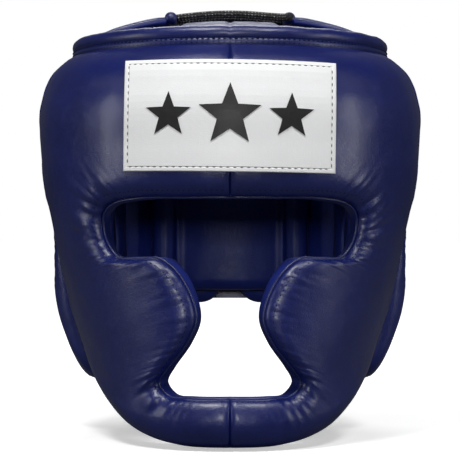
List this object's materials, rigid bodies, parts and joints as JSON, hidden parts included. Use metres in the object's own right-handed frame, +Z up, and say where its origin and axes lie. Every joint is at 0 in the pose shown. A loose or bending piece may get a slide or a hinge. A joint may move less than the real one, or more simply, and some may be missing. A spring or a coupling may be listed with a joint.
{
  "type": "boxing headgear",
  "caption": "Full-face padded leather boxing headgear with cheek and chin padding, ear holes, a laced crown, a forehead patch and a hook-and-loop rear closure.",
  "frame": {"origin": "centre of the wearer's head at eye level, on the left-right middle plane", "axes": "-Y to the front, +Z up, +X to the wearer's left"},
  "size_m": [0.2314, 0.254, 0.2529],
  "materials": {
    "shell": "glossy",
    "lining": "satin",
    "foam": "matte",
    "binding": "glossy",
    "patch": "satin",
    "strap": "glossy",
    "lace": "woven",
    "aglet": "polished",
    "hook_tape": "hook pile",
    "loop_tape": "loop pile"
  },
  "bodies": {
    "shell": {"back_pad_hinge_roll": "binding", "cheek_foam_left": "foam", "cheek_foam_right": "foam", "chin_foam": "foam", "crown_flap_foam_left": "foam", "crown_flap_foam_right": "foam", "crown_flap_left": "shell", "crown_flap_lining_left": "lining", "crown_flap_lining_right": "lining", "crown_flap_right": "shell", "crown_hem_left": "binding", "crown_hem_right": "binding", "crown_lace": "lace", "crown_tongue": "shell", "crown_tongue_foam": "foam", "crown_tongue_lining": "lining", "ear_cover_left": "shell", "ear_cover_right": "shell", "ear_foam_left": "foam", "ear_foam_right": "foam", "ear_hole_binding_left": "binding", "ear_hole_binding_right": "binding", "ear_lining_left": "lining", "ear_lining_right": "lining", "face_cover_left": "shell", "face_cover_right": "shell", "face_lining": "lining", "forehead_foam": "foam", "forehead_patch": "patch", "lace_aglet": "aglet", "opening_binding": "binding", "rim_binding": "binding", "rim_roll": "shell", "rim_roll_core": "foam", "wing_hinge_roll_left": "binding", "wing_hinge_roll_right": "binding"},
    "back_pad": {"back_pad_cover": "shell", "back_pad_foam": "foam", "back_pad_lining": "lining", "back_pad_side_foam_left": "foam", "back_pad_side_foam_right": "foam"},
    "wing_left": {"wing_cover_left": "shell", "wing_foam_left": "foam", "wing_lining_left": "lining", "strap_base": "strap"},
    "wing_right": {"wing_cover_right": "shell", "wing_foam_right": "foam", "wing_lining_right": "lining", "loop_tape": "loop_tape"},
    "strap": {"closure_strap": "strap", "strap_tab": "strap", "hook_tape": "hook_tape"}
  },
  "joints": [
    {"name": "wing_left_swing", "type": "hinge", "parent": "shell", "child": "wing_left", "pos_m": [0.08511, 0.067, 0], "axis": [0, 0, -1], "range_deg": [0, 50]},
    {"name": "wing_right_swing", "type": "hinge", "parent": "shell", "child": "wing_right", "pos_m": [-0.08511, 0.067, 0], "axis": [0, 0, 1], "range_deg": [0, 50]},
    {"name": "back_pad_tilt", "type": "hinge", "parent": "shell", "child": "back_pad", "pos_m": [0, 0.089, 0.106], "axis": [1, 0, 0], "range_deg": [0, 12]},
    {"name": "strap_peel", "type": "hinge", "parent": "wing_left", "child": "strap", "pos_m": [0.03, 0.12617, 0], "axis": [0, 0, -1], "range_deg": [0, 110]}
  ],
  "couplings": [
    {"joint": "wing_right_swing", "follows": "wing_left_swing", "ratio": 1},
    {"joint": "back_pad_tilt", "follows": "wing_left_swing", "ratio": 0.24}
  ]
}
